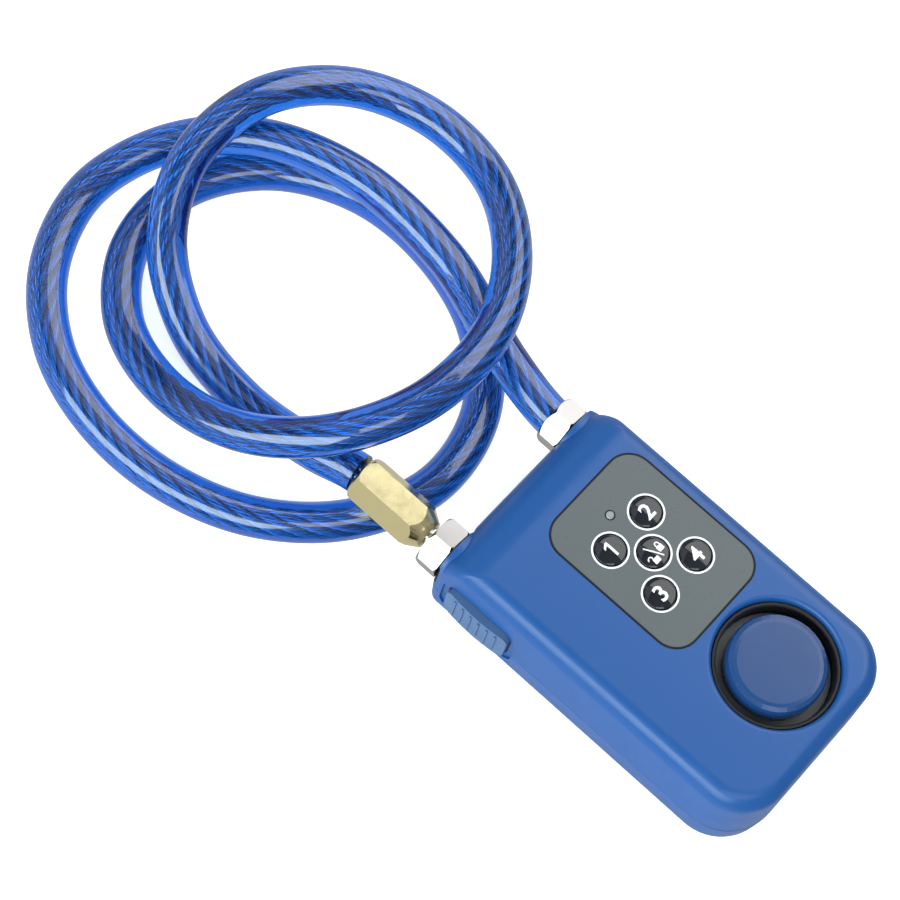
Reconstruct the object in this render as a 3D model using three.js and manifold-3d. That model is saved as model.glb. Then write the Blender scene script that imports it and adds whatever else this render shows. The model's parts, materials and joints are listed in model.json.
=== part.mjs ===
// Electronic alarm cable lock: a keypad and siren case with a looped steel cable.
// Millimetres. +Z comes up out of the keypad face, +Y points to the cable end, and +X points
// to the collar that the cable is fixed in. The origin is on the flat back, at its centre.
import * as THREE from 'three';
import { mergeVertices } from 'three/addons/utils/BufferGeometryUtils.js';
import Module from 'manifold-3d';

const wasm = await Module();
wasm.setup();

// ---- Driving dimensions ----
const GAP = 0.3; // between neighbouring pieces

// Case
const HALF_WIDTH = 30.2; // at the joint between the two halves
const TAIL_END = 49.2; // -Y end at the joint
const CABLE_END = 50.6; // +Y end at the joint
const CORNER_RADII = [5.5, 3.6, 14, 14]; // counter-clockwise from the +X, +Y corner
const HEIGHT = 31.5;
const JOINT_Z = 11;
const DRAFT = 1.0; // how far each wall leans in from the joint to the face
const BACK_DRAFT = 0.5;
const BACK_FILLET = 2.6;
const FACE_FILLET = 4.6;
const SLOPE_LENGTH = 13; // the face rolls down towards the cable end over this length
const SLOPE_DEPTH = 13;
const WALL = 2.2;

// Keypad
const PAD_X = 7.2;
const PAD_Y = 13;
const KEY_DX = 6.8;
const KEY_DY = 8;
const KEY_RADIUS = 3.95;
const PANEL_WIDTH = 33.4;
const PANEL_LENGTH = 44.6;
const PANEL_SHIFT = [0.5, 0.6];
const PANEL_RADIUS = 6.5;
const PANEL_Z = 30.2;
const PANEL_TOP = 31.6;
const LED_DY = 13.9;

// Siren
const SIREN = [6.8, -27];
const WELL_RADIUS = 16.1;
const WELL_FLOOR = 24.1;
const COVER_RADIUS = 12.6;
const COVER_TOP = 32.4;
const LINER_INNER = 14.9; // the black ring that lines the well
const LINER_TOP = 30;

// Collars, ferrule and cable
const SOCKET_X = -22.9;
const ANCHOR_X = 22.2;
const AXIS_Z = 17.5;
const SEAT_Y = 49.4;
const SEAT_GROOVE = 0.4; // depth of the groove that each gasket lies in
const SOCKET_GASKET = 7.8; // outer radius
const ANCHOR_GASKET = 7.45;
const GASKET_FRONT = 49.7;
const SOCKET_CORNER = 7.6; // radius over the corners of each hexagonal collar
const ANCHOR_CORNER = 7.15;
const COLLAR_TURN = 21; // degrees that both collars are turned about their own axes
const COLLAR_FRONT = 56.2;
const FERRULE_FLATS = 11.4;
const FERRULE_FRONT = 57.4;
const FERRULE_BACK = 80.2;
const PIN_RADIUS = 3;
const PIN_TIP = 38;
const PIN_TAIL = 65; // the end of its spigot inside the ferrule
const SPIGOT_RADIUS = 2.2;
const ROPE_BORE_START = 67; // where the ferrule's bore for the rope ends
const SHEATH_RADIUS = 5.3;
const CORE_RADIUS = 2.7;

// Side key and latch
const SIDE_KEY_Y = [25, 44.5];
const SIDE_KEY_Z = [6.5, 19.5];
const SIDE_KEY_CROWN = 32.3; // how far out its middle stands
const POCKET_FLOOR = 29.4; // the shallow pocket round it, measured from the middle plane
const LATCH_Y = 41.3; // the pin's groove, and the forked bolt that drops over it
const GROOVE_HALF = 1.3;
const GROOVE_RADIUS = 1.8;

// Screws and power
const CASE_SCREWS = [[-23, -37], [23, -37], [-9, 43], [9, 43]];
const DOOR = { x: -1, y: -24.2, width: 35, length: 41, radius: 3, thick: 1.7, screw: [-1, -6.6] };
const BATTERY_X = [-12.5, -1, 10.5];
const BATTERY_Z = 9.5;
const BATTERY_TAIL = -44.9;
const BATTERY_HEAD = -0.4;

// Segments in a full turn, for large, ordinary and small round parts
const FINE = 36;
const ROUND = 24;
const SMALL = 14;

// Cable route, from inside the anchor collar round two and a half loops to the ferrule.
const CABLE_ROUTE = [
  [22.2, 38.5, 17.5], [22.3, 57.5, 17.5], [26, 74, 17.2], [36.5, 105, 16.6], [37.5, 137, 16.8],
  [28, 164, 15.2], [11.5, 181.5, 9.2], [-10.5, 187.5, 6.1], [-32.5, 179.5, 5.6], [-48, 162.5, 5.5],
  [-55, 141, 5.5], [-54.5, 117.5, 5.5], [-46, 94.5, 5.5], [-29.5, 76.5, 5.5], [-7.5, 67.5, 5.5],
  [15, 72, 5.5], [32, 88.5, 5.5], [40, 112, 5.5], [39, 136, 5.5], [27.5, 157.5, 5.5],
  [7.5, 170, 5.5], [-14, 168.5, 5.5], [-30.5, 155, 5.7], [-37.5, 133.5, 9], [-35, 109.5, 17.5],
  [-22, 90, 27], [0, 79.5, 29.7], [24, 80, 29], [46.5, 92, 23.5], [61.5, 111.5, 18],
  [64, 134.5, 17], [53.5, 155, 21], [32.5, 167.5, 26], [9.5, 170, 21], [-8.5, 161, 12.4],
  [-20.5, 142, 6], [-25.5, 117.5, 7.5], [-25, 94.5, 13.5], [-22.9, 81, 17.3], [-22.9, 67.5, 17.5],
];
const CABLE_STEPS = 76;
const CABLE_SIDES = 8;

// ---- Materials ----
const material = (color, roughness, metalness = 0) =>
  new THREE.MeshStandardMaterial({ color, roughness, metalness });
const BLUE_ABS = material(0x2f62b4, 0.42);
const GREY_PANEL = material(0x6d7675, 0.3);
const GLOSS_BLACK = material(0x0c0f14, 0.08);
const SIDE_KEY_BLUE = material(0x5b7fc0, 0.5);
const GREY_PLASTIC = material(0x8a8f90, 0.6);
const BLACK_RUBBER = material(0x15171a, 0.85);
const NICKEL = material(0xe6e4df, 0.14, 1);
const BRASS = material(0xc8a04c, 0.24, 1);
const STEEL = material(0xb4b8bd, 0.3, 1);
const SHEATH_BLUE = material(0x1c5fd6, 0.08);
const BOARD_GREEN = material(0x1d5a34, 0.6);
const BATTERY_SKIN = material(0x2c2f33, 0.35, 0.4);
const LENS = material(0xdfe3e6, 0.15);

// ---- Solids ----

// The signed volume of an indexed triangle mesh: negative when its faces point in.
function signedVolume(position, index) {
  const [a, b, c] = [new THREE.Vector3(), new THREE.Vector3(), new THREE.Vector3()];
  let volume = 0;
  for (let i = 0; i < index.length; i += 3) {
    a.fromBufferAttribute(position, index[i]);
    b.fromBufferAttribute(position, index[i + 1]);
    c.fromBufferAttribute(position, index[i + 2]);
    volume += a.dot(b.cross(c)) / 6;
  }
  return volume;
}

// A three.js geometry as a manifold solid, with its faces turned outwards.
function solid(geometry) {
  const bare = geometry.clone();
  bare.deleteAttribute('normal');
  bare.deleteAttribute('uv');
  const merged = mergeVertices(bare, 1e-4);
  const triangles = [];
  for (let i = 0; i < merged.index.count; i += 3) {
    const corner = [0, 1, 2].map((k) => merged.index.getX(i + k));
    if (new Set(corner).size === 3) triangles.push(...corner);
  }
  if (signedVolume(merged.attributes.position, triangles) < 0) triangles.reverse();
  const vertProperties = new Float32Array(merged.attributes.position.array);
  const triVerts = new Uint32Array(triangles);
  return new wasm.Manifold(new wasm.Mesh({ numProp: 3, vertProperties, triVerts }));
}

function geometryOf(body) {
  const mesh = body.getMesh();
  const geometry = new THREE.BufferGeometry();
  geometry.setAttribute('position', new THREE.BufferAttribute(mesh.vertProperties, 3));
  geometry.setIndex(new THREE.BufferAttribute(mesh.triVerts, 1));
  geometry.computeVertexNormals();
  return geometry;
}

const union = (...bodies) => bodies.reduce((sum, body) => sum.add(body));
const cut = (body, ...tools) => tools.reduce((left, tool) => left.subtract(tool), body);

// A box between two corners.
function block(low, high) {
  const size = low.map((value, k) => high[k] - value);
  const middle = low.map((value, k) => (high[k] + value) / 2);
  return solid(new THREE.BoxGeometry(...size).translate(...middle));
}

// A profile of [radius, height] pairs turned about +Y. It starts and ends on the axis or closes.
const lathe = (profile, segments) => new THREE.LatheGeometry(
  profile.map(([radius, height]) => new THREE.Vector2(radius, height)), segments);

// Turned about an upright line through a point in plan. The profile's heights are z.
const turnedUp = (profile, [x, y], segments = ROUND) =>
  solid(lathe(profile, segments).rotateX(Math.PI / 2).translate(x, y, 0));

// Turned about a line along the case, at the collars' height unless told. The heights are y.
const turnedAlong = (profile, x, segments = ROUND, z = AXIS_Z) =>
  solid(lathe(profile, segments).translate(x, 0, z));

const rodProfile = (radius, low, high) => [[0, low], [radius, low], [radius, high], [0, high]];
const tubeProfile = (inner, outer, low, high) =>
  [[inner, low], [outer, low], [outer, high], [inner, high], [inner, low]];
const rodUp = (radius, low, high, place, segments) =>
  turnedUp(rodProfile(radius, low, high), place, segments);
const rodAlong = (radius, low, high, x, segments, z) =>
  turnedAlong(rodProfile(radius, low, high), x, segments, z);

// A plane shape pushed up between two heights.
function slab(shape, low, high, curveSegments = 7) {
  const options = { depth: high - low, bevelEnabled: false, curveSegments };
  return solid(new THREE.ExtrudeGeometry(shape, options).translate(0, 0, low));
}

function roundedRectangle(x, y, width, length, radius) {
  const [left, right] = [x - width / 2, x + width / 2];
  const [bottom, top] = [y - length / 2, y + length / 2];
  const shape = new THREE.Shape();
  shape.absarc(right - radius, top - radius, radius, 0, Math.PI / 2);
  shape.absarc(left + radius, top - radius, radius, Math.PI / 2, Math.PI);
  shape.absarc(left + radius, bottom + radius, radius, Math.PI, 1.5 * Math.PI);
  shape.absarc(right - radius, bottom + radius, radius, 1.5 * Math.PI, 2 * Math.PI);
  shape.closePath();
  return shape;
}

// The corners of a regular polygon as a closed shape.
function polygon(radius, sides) {
  const corners = Array.from({ length: sides }, (_, i) => {
    const angle = 2 * Math.PI * i / sides;
    return new THREE.Vector2(radius * Math.cos(angle), radius * Math.sin(angle));
  });
  return new THREE.Shape(corners);
}

// ---- Case form ----

// The case's plan outline, drawn in by an inset on the side walls and one on the cable end.
function caseOutline(inset, cableInset) {
  const arcSteps = 5;
  const half = HALF_WIDTH - inset;
  const tail = -(TAIL_END - inset);
  const head = CABLE_END - cableInset;
  const corners = [[half, head], [-half, head], [-half, tail], [half, tail]];
  const points = [];
  corners.forEach(([x, y], quarter) => {
    const radius = Math.max(CORNER_RADII[quarter] - inset, 1);
    const centreX = x - Math.sign(x) * radius;
    const centreY = y - Math.sign(y) * radius;
    for (let i = 0; i <= arcSteps; i += 1) {
      const angle = (quarter + i / arcSteps) * Math.PI / 2;
      points.push([centreX + radius * Math.cos(angle), centreY + radius * Math.sin(angle)]);
    }
  });
  return points;
}

// How far the case's side walls and its cable end lie inside the joint's outline at a height.
function caseInsets(z) {
  if (z <= JOINT_Z) {
    const lean = BACK_DRAFT * (JOINT_Z - z) / JOINT_Z;
    const under = Math.max(BACK_FILLET - z, 0);
    const round = BACK_FILLET - Math.sqrt(BACK_FILLET ** 2 - under ** 2);
    return [lean + round, lean + round];
  }
  const lean = DRAFT * (z - JOINT_Z) / (HEIGHT - JOINT_Z);
  const over = Math.max(z - (HEIGHT - FACE_FILLET), 0);
  const round = FACE_FILLET - Math.sqrt(Math.max(FACE_FILLET ** 2 - over ** 2, 0));
  const sloped = Math.max(z - (HEIGHT - SLOPE_DEPTH), 0) / SLOPE_DEPTH;
  const slope = SLOPE_LENGTH * (1 - Math.sqrt(Math.max(1 - sloped ** 2, 0)));
  return [lean + round, lean + slope];
}

// A solid stacked from outlines of equal point count, closed by a flat cap at each end.
function stacked(levels) {
  const count = levels[0].points.length;
  const position = [];
  for (const { points, z } of levels) {
    for (const [x, y] of points) position.push(x, y, z);
  }
  const index = [];
  for (let level = 0; level + 1 < levels.length; level += 1) {
    for (let i = 0; i < count; i += 1) {
      const a = level * count + i;
      const b = level * count + (i + 1) % count;
      index.push(a, b, a + count, b, b + count, a + count);
    }
  }
  const last = (levels.length - 1) * count;
  for (let i = 1; i + 1 < count; i += 1) {
    index.push(0, i + 1, i);
    index.push(last, last + i, last + i + 1);
  }
  const geometry = new THREE.BufferGeometry();
  geometry.setAttribute('position', new THREE.Float32BufferAttribute(position, 3));
  geometry.setIndex(index);
  return solid(geometry);
}

// The case's outline at a height, drawn in by a wall thickness and put at another height.
function caseLevel(outlineZ, wall = 0, z = outlineZ) {
  const [side, cable] = caseInsets(outlineZ);
  return { z, points: caseOutline(side + wall, cable + wall) };
}

const backLevels = [0, 0.35, 1.2, BACK_FILLET, JOINT_Z];
const slopeLevels = [0, 0.25, 0.45, 0.62, 0.75, 0.86, 0.94, 1]
  .map((share) => HEIGHT - SLOPE_DEPTH * (1 - share));
const caseSolid = stacked([...backLevels, ...slopeLevels].map((z) => caseLevel(z)));

const hollowLevels = [WALL, JOINT_Z, 18.5, 22.5, 25.4, 27.8, HEIGHT - WALL];
const hollowSolid = stacked(
  hollowLevels.map((z) => caseLevel(Math.max(z, BACK_FILLET), WALL, z)));

// A round boss under each collar. It stands out of the slope, but not out of the side walls.
const bossLimit = stacked([0, HEIGHT].map((z) => ({ z, points: caseOutline(0.8, 0.8) })));
const collarBoss = (x) => rodAlong(8.4, 46.9, SEAT_Y, x, FINE).intersect(bossLimit);

// The scooped seat that a collar's gasket lies in.
const collarScoop = (x) => turnedAlong(
  [[0, SEAT_Y], [8.4, SEAT_Y], [10, SEAT_Y + 2], [0, SEAT_Y + 2]], x, FINE);

const sideKeyMiddleY = (SIDE_KEY_Y[0] + SIDE_KEY_Y[1]) / 2;
const sideKeyMiddleZ = (SIDE_KEY_Z[0] + SIDE_KEY_Z[1]) / 2;

// A rounded block through the left wall, between two distances from the middle plane.
function sideBlock(margin, radius, low, high) {
  const height = SIDE_KEY_Z[1] - SIDE_KEY_Z[0] + 2 * margin;
  const length = SIDE_KEY_Y[1] - SIDE_KEY_Y[0] + 2 * margin;
  const shape = roundedRectangle(0, 0, height, length, radius);
  const options = { depth: high - low, bevelEnabled: false, curveSegments: 4 };
  const body = new THREE.ExtrudeGeometry(shape, options);
  return solid(body.rotateY(-Math.PI / 2).translate(-low, sideKeyMiddleY, sideKeyMiddleZ));
}

function hollowCase() {
  const shell = union(cut(caseSolid, hollowSolid), collarBoss(SOCKET_X), collarBoss(ANCHOR_X));
  return cut(
    shell,
    collarScoop(SOCKET_X),
    collarScoop(ANCHOR_X),
    rodAlong(SOCKET_GASKET + GAP, SEAT_Y - SEAT_GROOVE, SEAT_Y + 1, SOCKET_X, FINE),
    rodAlong(ANCHOR_GASKET + GAP, SEAT_Y - SEAT_GROOVE, SEAT_Y + 1, ANCHOR_X, FINE),
    rodAlong(5.2, 40, 60, SOCKET_X),
    rodAlong(5.9, 40, 60, ANCHOR_X),
    sideBlock(2, 4.2, POCKET_FLOOR, 34), // the pocket round the side key
    sideBlock(GAP, 2.6, 20, 34), // its opening
  );
}

const wholeShell = hollowCase();
const OUTSIDE = 80; // beyond every face of the case
const lowerHalf = block([-OUTSIDE, -OUTSIDE, -OUTSIDE], [OUTSIDE, OUTSIDE, JOINT_Z - GAP / 2]);
const upperHalf = block([-OUTSIDE, -OUTSIDE, JOINT_Z + GAP / 2], [OUTSIDE, OUTSIDE, OUTSIDE]);

// How far the seal runs along the left wall, short of the side key, and along the right wall.
const SEAL_ENDS = [21, 44];

// A band of the joint's outline between two insets. It leaves out the side key and the cable end.
function jointBand(outer, inner, halfHeight, shorter) {
  const [low, high] = [JOINT_Z - halfHeight, JOINT_Z + halfHeight];
  const level = (inset, z) => ({ z, points: caseOutline(inset, inset) });
  return cut(
    stacked([level(outer, low), level(outer, high)]),
    stacked([level(inner, low - 1), level(inner, high + 1)]),
    block([-OUTSIDE, SEAL_ENDS[0] - shorter, 0], [0, OUTSIDE, HEIGHT]),
    block([-1, SEAL_ENDS[1] - shorter, 0], [OUTSIDE, OUTSIDE, HEIGHT]),
  );
}

const sealGroove = jointBand(0.6, 1.7, 0.8, 0);
const housingSeal = () => jointBand(0.9, 1.4, 0.5, GAP);

// ---- Back half ----
const DOOR_PAD_TOP = 3.4; // the thickened wall round the battery opening

// The door's outline, grown on every side.
const doorOutline = (grow) => roundedRectangle(
  DOOR.x, DOOR.y, DOOR.width + 2 * grow, DOOR.length + 2 * grow, DOOR.radius + grow);

function rearShell() {
  const bayPad = slab(doorOutline(1.8), 1, DOOR_PAD_TOP).intersect(caseSolid);
  const bay = roundedRectangle(DOOR.x, DOOR.y - 2.6, DOOR.width - 2.6, DOOR.length - 8.6, 2);
  const posts = CASE_SCREWS.map((place) => rodUp(3.5, 1, JOINT_Z - GAP / 2, place, SMALL));
  const wells = CASE_SCREWS.map((place) => union(
    rodUp(3, -1, 3, place, SMALL),
    rodUp(1.7, -1, JOINT_Z + 1, place, SMALL),
  ));
  return cut(
    union(wholeShell.intersect(lowerHalf), bayPad, ...posts),
    slab(doorOutline(GAP), -1, DOOR.thick + GAP),
    slab(bay, -1, DOOR_PAD_TOP + 1),
    rodUp(1.3, -1, DOOR_PAD_TOP + 1, DOOR.screw, SMALL),
    sealGroove,
    ...wells,
  );
}

function batteryDoor() {
  const [gripHalf, gripStart, gripPitch] = [7, -40, 2.2];
  const grips = [0, 1, 2, 3].map((i) => {
    const y = gripStart + gripPitch * i;
    return block([DOOR.x - gripHalf, y, -1], [DOOR.x + gripHalf, y + 1, 0.5]);
  });
  return cut(
    slab(doorOutline(0), 0, DOOR.thick),
    rodUp(2.6, -1, 0.9, DOOR.screw, SMALL),
    rodUp(1.4, -1, DOOR.thick + 1, DOOR.screw, SMALL),
    ...grips,
  );
}

// A cross-head screw, head down. The head's foot is at headZ and the point at tipZ.
function screw([x, y], headZ, headRadius, headHeight, shaftRadius, tipZ) {
  const body = turnedUp([
    [0, headZ], [headRadius * 0.8, headZ], [headRadius, headZ + 0.3],
    [headRadius, headZ + headHeight], [shaftRadius, headZ + headHeight],
    [shaftRadius, tipZ - 1], [0, tipZ],
  ], [x, y], SMALL);
  const arm = headRadius * 0.62;
  const halfSlot = 0.3;
  const slotTop = headZ + headHeight * 0.6;
  return cut(
    body,
    block([x - arm, y - halfSlot, headZ - 1], [x + arm, y + halfSlot, slotTop]),
    block([x - halfSlot, y - arm, headZ - 1], [x + halfSlot, y + arm, slotTop]),
  );
}

// ---- Front half ----
const panelOutline = (grow) => roundedRectangle(
  PAD_X + PANEL_SHIFT[0], PAD_Y + PANEL_SHIFT[1],
  PANEL_WIDTH + 2 * grow, PANEL_LENGTH + 2 * grow, PANEL_RADIUS + grow);

const KEYS = [
  ['1', PAD_X - KEY_DX, PAD_Y + KEY_DY],
  ['2', PAD_X + KEY_DX, PAD_Y + KEY_DY],
  ['3', PAD_X - KEY_DX, PAD_Y - KEY_DY],
  ['4', PAD_X + KEY_DX, PAD_Y - KEY_DY],
  ['lock', PAD_X, PAD_Y],
];

function frontShell() {
  const wellWall = rodUp(WELL_RADIUS + 1.6, WELL_FLOOR - 1.5, HEIGHT - 1, SIREN, FINE);
  const posts = CASE_SCREWS.map((place) =>
    rodUp(3.2, JOINT_Z + GAP / 2, HEIGHT - WALL, place, SMALL).intersect(caseSolid));
  const bores = CASE_SCREWS.map((place) => rodUp(1.7, JOINT_Z - 1, 21, place, SMALL));
  const well = turnedUp([
    [0, WELL_FLOOR], [WELL_RADIUS, WELL_FLOOR], [WELL_RADIUS, HEIGHT - 1.1],
    [WELL_RADIUS + 0.25, HEIGHT - 0.5], [WELL_RADIUS + 1.3, HEIGHT + 0.1], [0, HEIGHT + 0.1],
  ], SIREN, FINE);
  const soundHoles = [0, 1, 2, 3, 4, 5].map((i) => {
    const angle = (i + 0.5) * Math.PI / 3;
    const place = [SIREN[0] + 7 * Math.cos(angle), SIREN[1] + 7 * Math.sin(angle)];
    return rodUp(1.6, WELL_FLOOR - 4, WELL_FLOOR + 1, place, SMALL);
  });
  return cut(
    union(wholeShell.intersect(upperHalf), wellWall.intersect(caseSolid), ...posts),
    well,
    slab(panelOutline(GAP), PANEL_Z - GAP, HEIGHT + 1),
    slab(roundedRectangle(PAD_X, PAD_Y + 1.5, 26.4, 36, 4), 20, HEIGHT), // behind the keys
    sealGroove,
    ...bores,
    ...soundHoles,
  );
}

// Holes through a sheet for the keys and for the indicator.
const keypadHoles = (keyHole, ledHole, segments) => [
  ...KEYS.map(([, x, y]) => rodUp(keyHole, 20, 40, [x, y], segments)),
  rodUp(ledHole, 20, 40, [PAD_X, PAD_Y + LED_DY], SMALL),
];

const keypadPanel = () => cut(
  slab(panelOutline(0), PANEL_Z, PANEL_TOP), ...keypadHoles(KEY_RADIUS + GAP, 1.35, ROUND));

// A key: a foot for the switch, a flange under the panel, and a slightly domed cap.
const keyCap = (x, y) => turnedUp([
  [0, 28.3], [1.5, 28.3], [1.5, 29.1], [4.8, 29.1], [4.8, 29.9], [KEY_RADIUS, 29.9],
  [KEY_RADIUS, 31.7], [3.5, 32.05], [2, 32.3], [0, 32.35],
], [x, y]);

const led = () => turnedUp([
  [0, 26.5], [1.05, 26.5], [1.05, 31.7], [0.7, 31.95], [0, 32],
], [PAD_X, PAD_Y + LED_DY], SMALL);

const keypadMembrane = () => cut(
  slab(roundedRectangle(PAD_X, PAD_Y + 1.5, 25.4, 35, 3.6), 27.9, 28.2, 3),
  ...keypadHoles(1.9, 1.5, SMALL));

const tactSwitch = (x, y) => union(
  block([x - 2.2, y - 2.2, 26.5], [x + 2.2, y + 2.2, 27.2]),
  rodUp(1.2, 27, 27.6, [x, y], SMALL),
);

const mainBoard = () => cut(
  slab(roundedRectangle(PAD_X + 0.8, 15, 36, 42, 2), 25, 26.2, 3),
  rodUp(1.4, 20, 30, [-7.5, 33], SMALL),
  rodUp(1.4, 20, 30, [23.5, 33], SMALL),
);

// ---- Siren ----
const sirenTransducer = () => turnedUp([
  [0, 16.6], [12.4, 16.6], [13.2, 17.2], [13.2, 21.4], [12.2, 22.2], [3, 22.2], [3, 21], [0, 21],
], SIREN);

// A box standing out from the siren's axis at an angle.
function sirenSpoke(size, distance, z, angle) {
  const spoke = new THREE.BoxGeometry(...size).translate(distance, 0, z);
  return solid(spoke.rotateZ(angle).translate(...SIREN, 0));
}

function sirenGrille() {
  const slots = 12;
  const ring = turnedUp(
    tubeProfile(3, LINER_INNER - GAP, WELL_FLOOR + GAP, WELL_FLOOR + 1), SIREN, FINE);
  const cutters = Array.from({ length: slots }, (_, i) =>
    sirenSpoke([4, 1.2, 4], 7.4, WELL_FLOOR, 2 * Math.PI * i / slots));
  return cut(ring, ...cutters);
}

const sirenLiner = () => turnedUp([
  [LINER_INNER, WELL_FLOOR + GAP], [WELL_RADIUS - GAP, WELL_FLOOR + GAP],
  [WELL_RADIUS - GAP, LINER_TOP], [LINER_INNER + 0.3, LINER_TOP], [LINER_INNER, LINER_TOP - 0.3],
  [LINER_INNER, WELL_FLOOR + GAP],
], SIREN, FINE);

function sirenCover() {
  const skirt = WELL_FLOOR + 2.6;
  const inner = COVER_RADIUS - 1.6;
  const roof = COVER_TOP - 1.8;
  const puck = turnedUp([
    [inner, skirt], [COVER_RADIUS, skirt], [COVER_RADIUS, COVER_TOP - 1.6],
    [COVER_RADIUS - 0.45, COVER_TOP - 0.6], [COVER_RADIUS - 1.5, COVER_TOP - 0.1],
    [COVER_RADIUS - 2.4, COVER_TOP], [0, COVER_TOP], [0, roof], [inner, roof], [inner, skirt],
  ], SIREN, FINE);
  const footHeight = 3;
  const footZ = WELL_FLOOR + 1 + GAP + footHeight / 2;
  const feet = [1, 3, 5, 7].map((eighth) =>
    sirenSpoke([1.4, 3.4, footHeight], COVER_RADIUS - 0.8, footZ, eighth * Math.PI / 4));
  return union(puck, ...feet);
}

// ---- Power ----
function batteryTray() {
  const [low, high] = [[-19.3, -46, 3.7], [17.3, 2.4, 16.2]];
  const [middleX, middleY] = [(low[0] + high[0]) / 2, (low[1] + high[1]) / 2];
  const outline = roundedRectangle(middleX, middleY, high[0] - low[0], high[1] - low[1], 2);
  const halfBay = 5.55;
  const bays = BATTERY_X.map((x) => block(
    [x - halfBay, BATTERY_TAIL - 0.9, 0], [x + halfBay, BATTERY_HEAD + 1.6, high[2] - 1.2]));
  return cut(slab(outline, low[2], high[2], 3), ...bays);
}

const battery = (x) => turnedAlong([
  [0, BATTERY_TAIL + GAP], [4.9, BATTERY_TAIL + GAP], [5.2, BATTERY_TAIL + 0.8],
  [5.2, BATTERY_HEAD - 1.3], [4.9, BATTERY_HEAD - 1], [1.9, BATTERY_HEAD - 1],
  [1.9, BATTERY_HEAD], [0, BATTERY_HEAD],
], x, SMALL, BATTERY_Z);

// One contact leaf at each end of each bay.
const contactLeaf = (x, y) => block([x - 3.4, y, 5.2], [x + 3.4, y + 0.4, 13.2]);

// ---- Electronics under the board ----
const mainChip = () => block([3, 8, 23.2], [15, 20, 24.7]);
const vibrationSensor = () => rodAlong(2.2, 20, 31, 20.5, SMALL, 22.4);

// ---- Side key and latch ----

// The key's outer block, crowned along its length, with its face sunk by a little.
function crownedBlock(sink) {
  const root = 28.3;
  const rim = SIDE_KEY_CROWN - 1.1 - sink;
  const outline = new THREE.Shape();
  outline.moveTo(-root, SIDE_KEY_Y[0]);
  outline.lineTo(-rim, SIDE_KEY_Y[0]);
  outline.quadraticCurveTo(-SIDE_KEY_CROWN - 0.5 + sink, sideKeyMiddleY, -rim, SIDE_KEY_Y[1]);
  outline.lineTo(-root, SIDE_KEY_Y[1]);
  outline.closePath();
  return slab(outline, ...SIDE_KEY_Z, 10).intersect(sideBlock(0, 2.4, root, 34));
}

// The key: a crowned block with thin ribs and an inner flange that keeps it in the wall.
function sideKey() {
  const [ribHalf, ribPitch, ribHeight] = [0.3, 2.6, 0.4];
  const ribs = [-2.5, -1.5, -0.5, 0.5, 1.5, 2.5].map((i) => {
    const y = sideKeyMiddleY + i * ribPitch;
    return block([-40, y - ribHalf, SIDE_KEY_Z[0] + 1.4], [-30, y + ribHalf, SIDE_KEY_Z[1] - 1.4]);
  });
  const neck = block([-28.5, 27, 8.5], [-27, 36, 17.5]);
  const flange = block([-27.2, 23.4, 4.9], [-26.4, 37.4, 21]);
  return union(
    crownedBlock(ribHeight), crownedBlock(0).intersect(union(...ribs)), neck, flange);
}

// A forked steel plate that slides over the groove of the lock pin.
function lockBolt() {
  const halfThick = 0.9;
  const halfNotch = 2.15;
  const notchStart = -26.3;
  return cut(
    block([-27.1, LATCH_Y - halfThick, 12.6], [SOCKET_X - 2.5, LATCH_Y + halfThick, 22]),
    block(
      [notchStart, LATCH_Y - 2, AXIS_Z - halfNotch], [SOCKET_X, LATCH_Y + 2, AXIS_Z + halfNotch]),
  );
}

// A foot on the case's floor with the spring's seat and a slot that guides the bolt.
function latchBracket() {
  const base = block([-27, 26, 2.6], [-16, 43.6, 4]);
  const springSeat = block([-19, 26.5, 3], [-16.6, 34, 15.5]);
  const guide = cut(
    block([-26, 38.8, 3], [-19, 43.6, 14]),
    block([-30, LATCH_Y - 1.2, 12.3], [-10, LATCH_Y + 1.2, 20]),
  );
  return union(base, springSeat, guide);
}

// A helix along +X.
class CoilCurve extends THREE.Curve {
  constructor(radius, length, turns) {
    super();
    Object.assign(this, { radius, length, turns });
  }

  getPoint(t) {
    const angle = 2 * Math.PI * this.turns * t;
    return new THREE.Vector3(
      this.length * t, this.radius * Math.cos(angle), this.radius * Math.sin(angle));
  }
}

// A round wire or tube along a curve.
function swept(curve, radius, sides, steps) {
  const options = { steps, extrudePath: curve, bevelEnabled: false };
  return new THREE.ExtrudeGeometry(polygon(radius, sides), options);
}

function keySpring() {
  const [coilRadius, length, turns, wireRadius] = [2.1, 6.1, 4.5, 0.35];
  const coil = new CoilCurve(coilRadius, length, turns);
  return solid(swept(coil, wireRadius, 5, 8 * turns).translate(-25.7, 30.4, 11.6));
}

// ---- Collars, plug and cable ----
const gasket = (x, inner, outer) =>
  turnedAlong(tubeProfile(inner, outer, SEAT_Y - SEAT_GROOVE + GAP, GASKET_FRONT), x, FINE);

// A hexagonal bar along the case, turned about its own axis from having a flat on top.
function hexBar(x, corner, low, high, turn) {
  const options = { depth: high - low, bevelEnabled: false };
  const bar = new THREE.ExtrudeGeometry(polygon(corner, 6), options);
  bar.rotateZ(turn * Math.PI / 180).rotateX(-Math.PI / 2).translate(x, low, AXIS_Z);
  return solid(bar);
}

// A hexagonal nut with its corners turned off at both ends, bored through.
function collar(x, bore, corner, front) {
  const back = GASKET_FRONT + GAP;
  const turnedForm = turnedAlong([
    [0, back], [corner - 0.45, back], [corner + 0.1, back + 0.5], [corner + 0.1, front - 1],
    [corner - 1, front], [0, front],
  ], x, FINE);
  return cut(
    turnedForm.intersect(hexBar(x, corner, back - 1, front + 1, COLLAR_TURN)),
    rodAlong(bore, back - 1, front + 1, x),
  );
}

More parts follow.
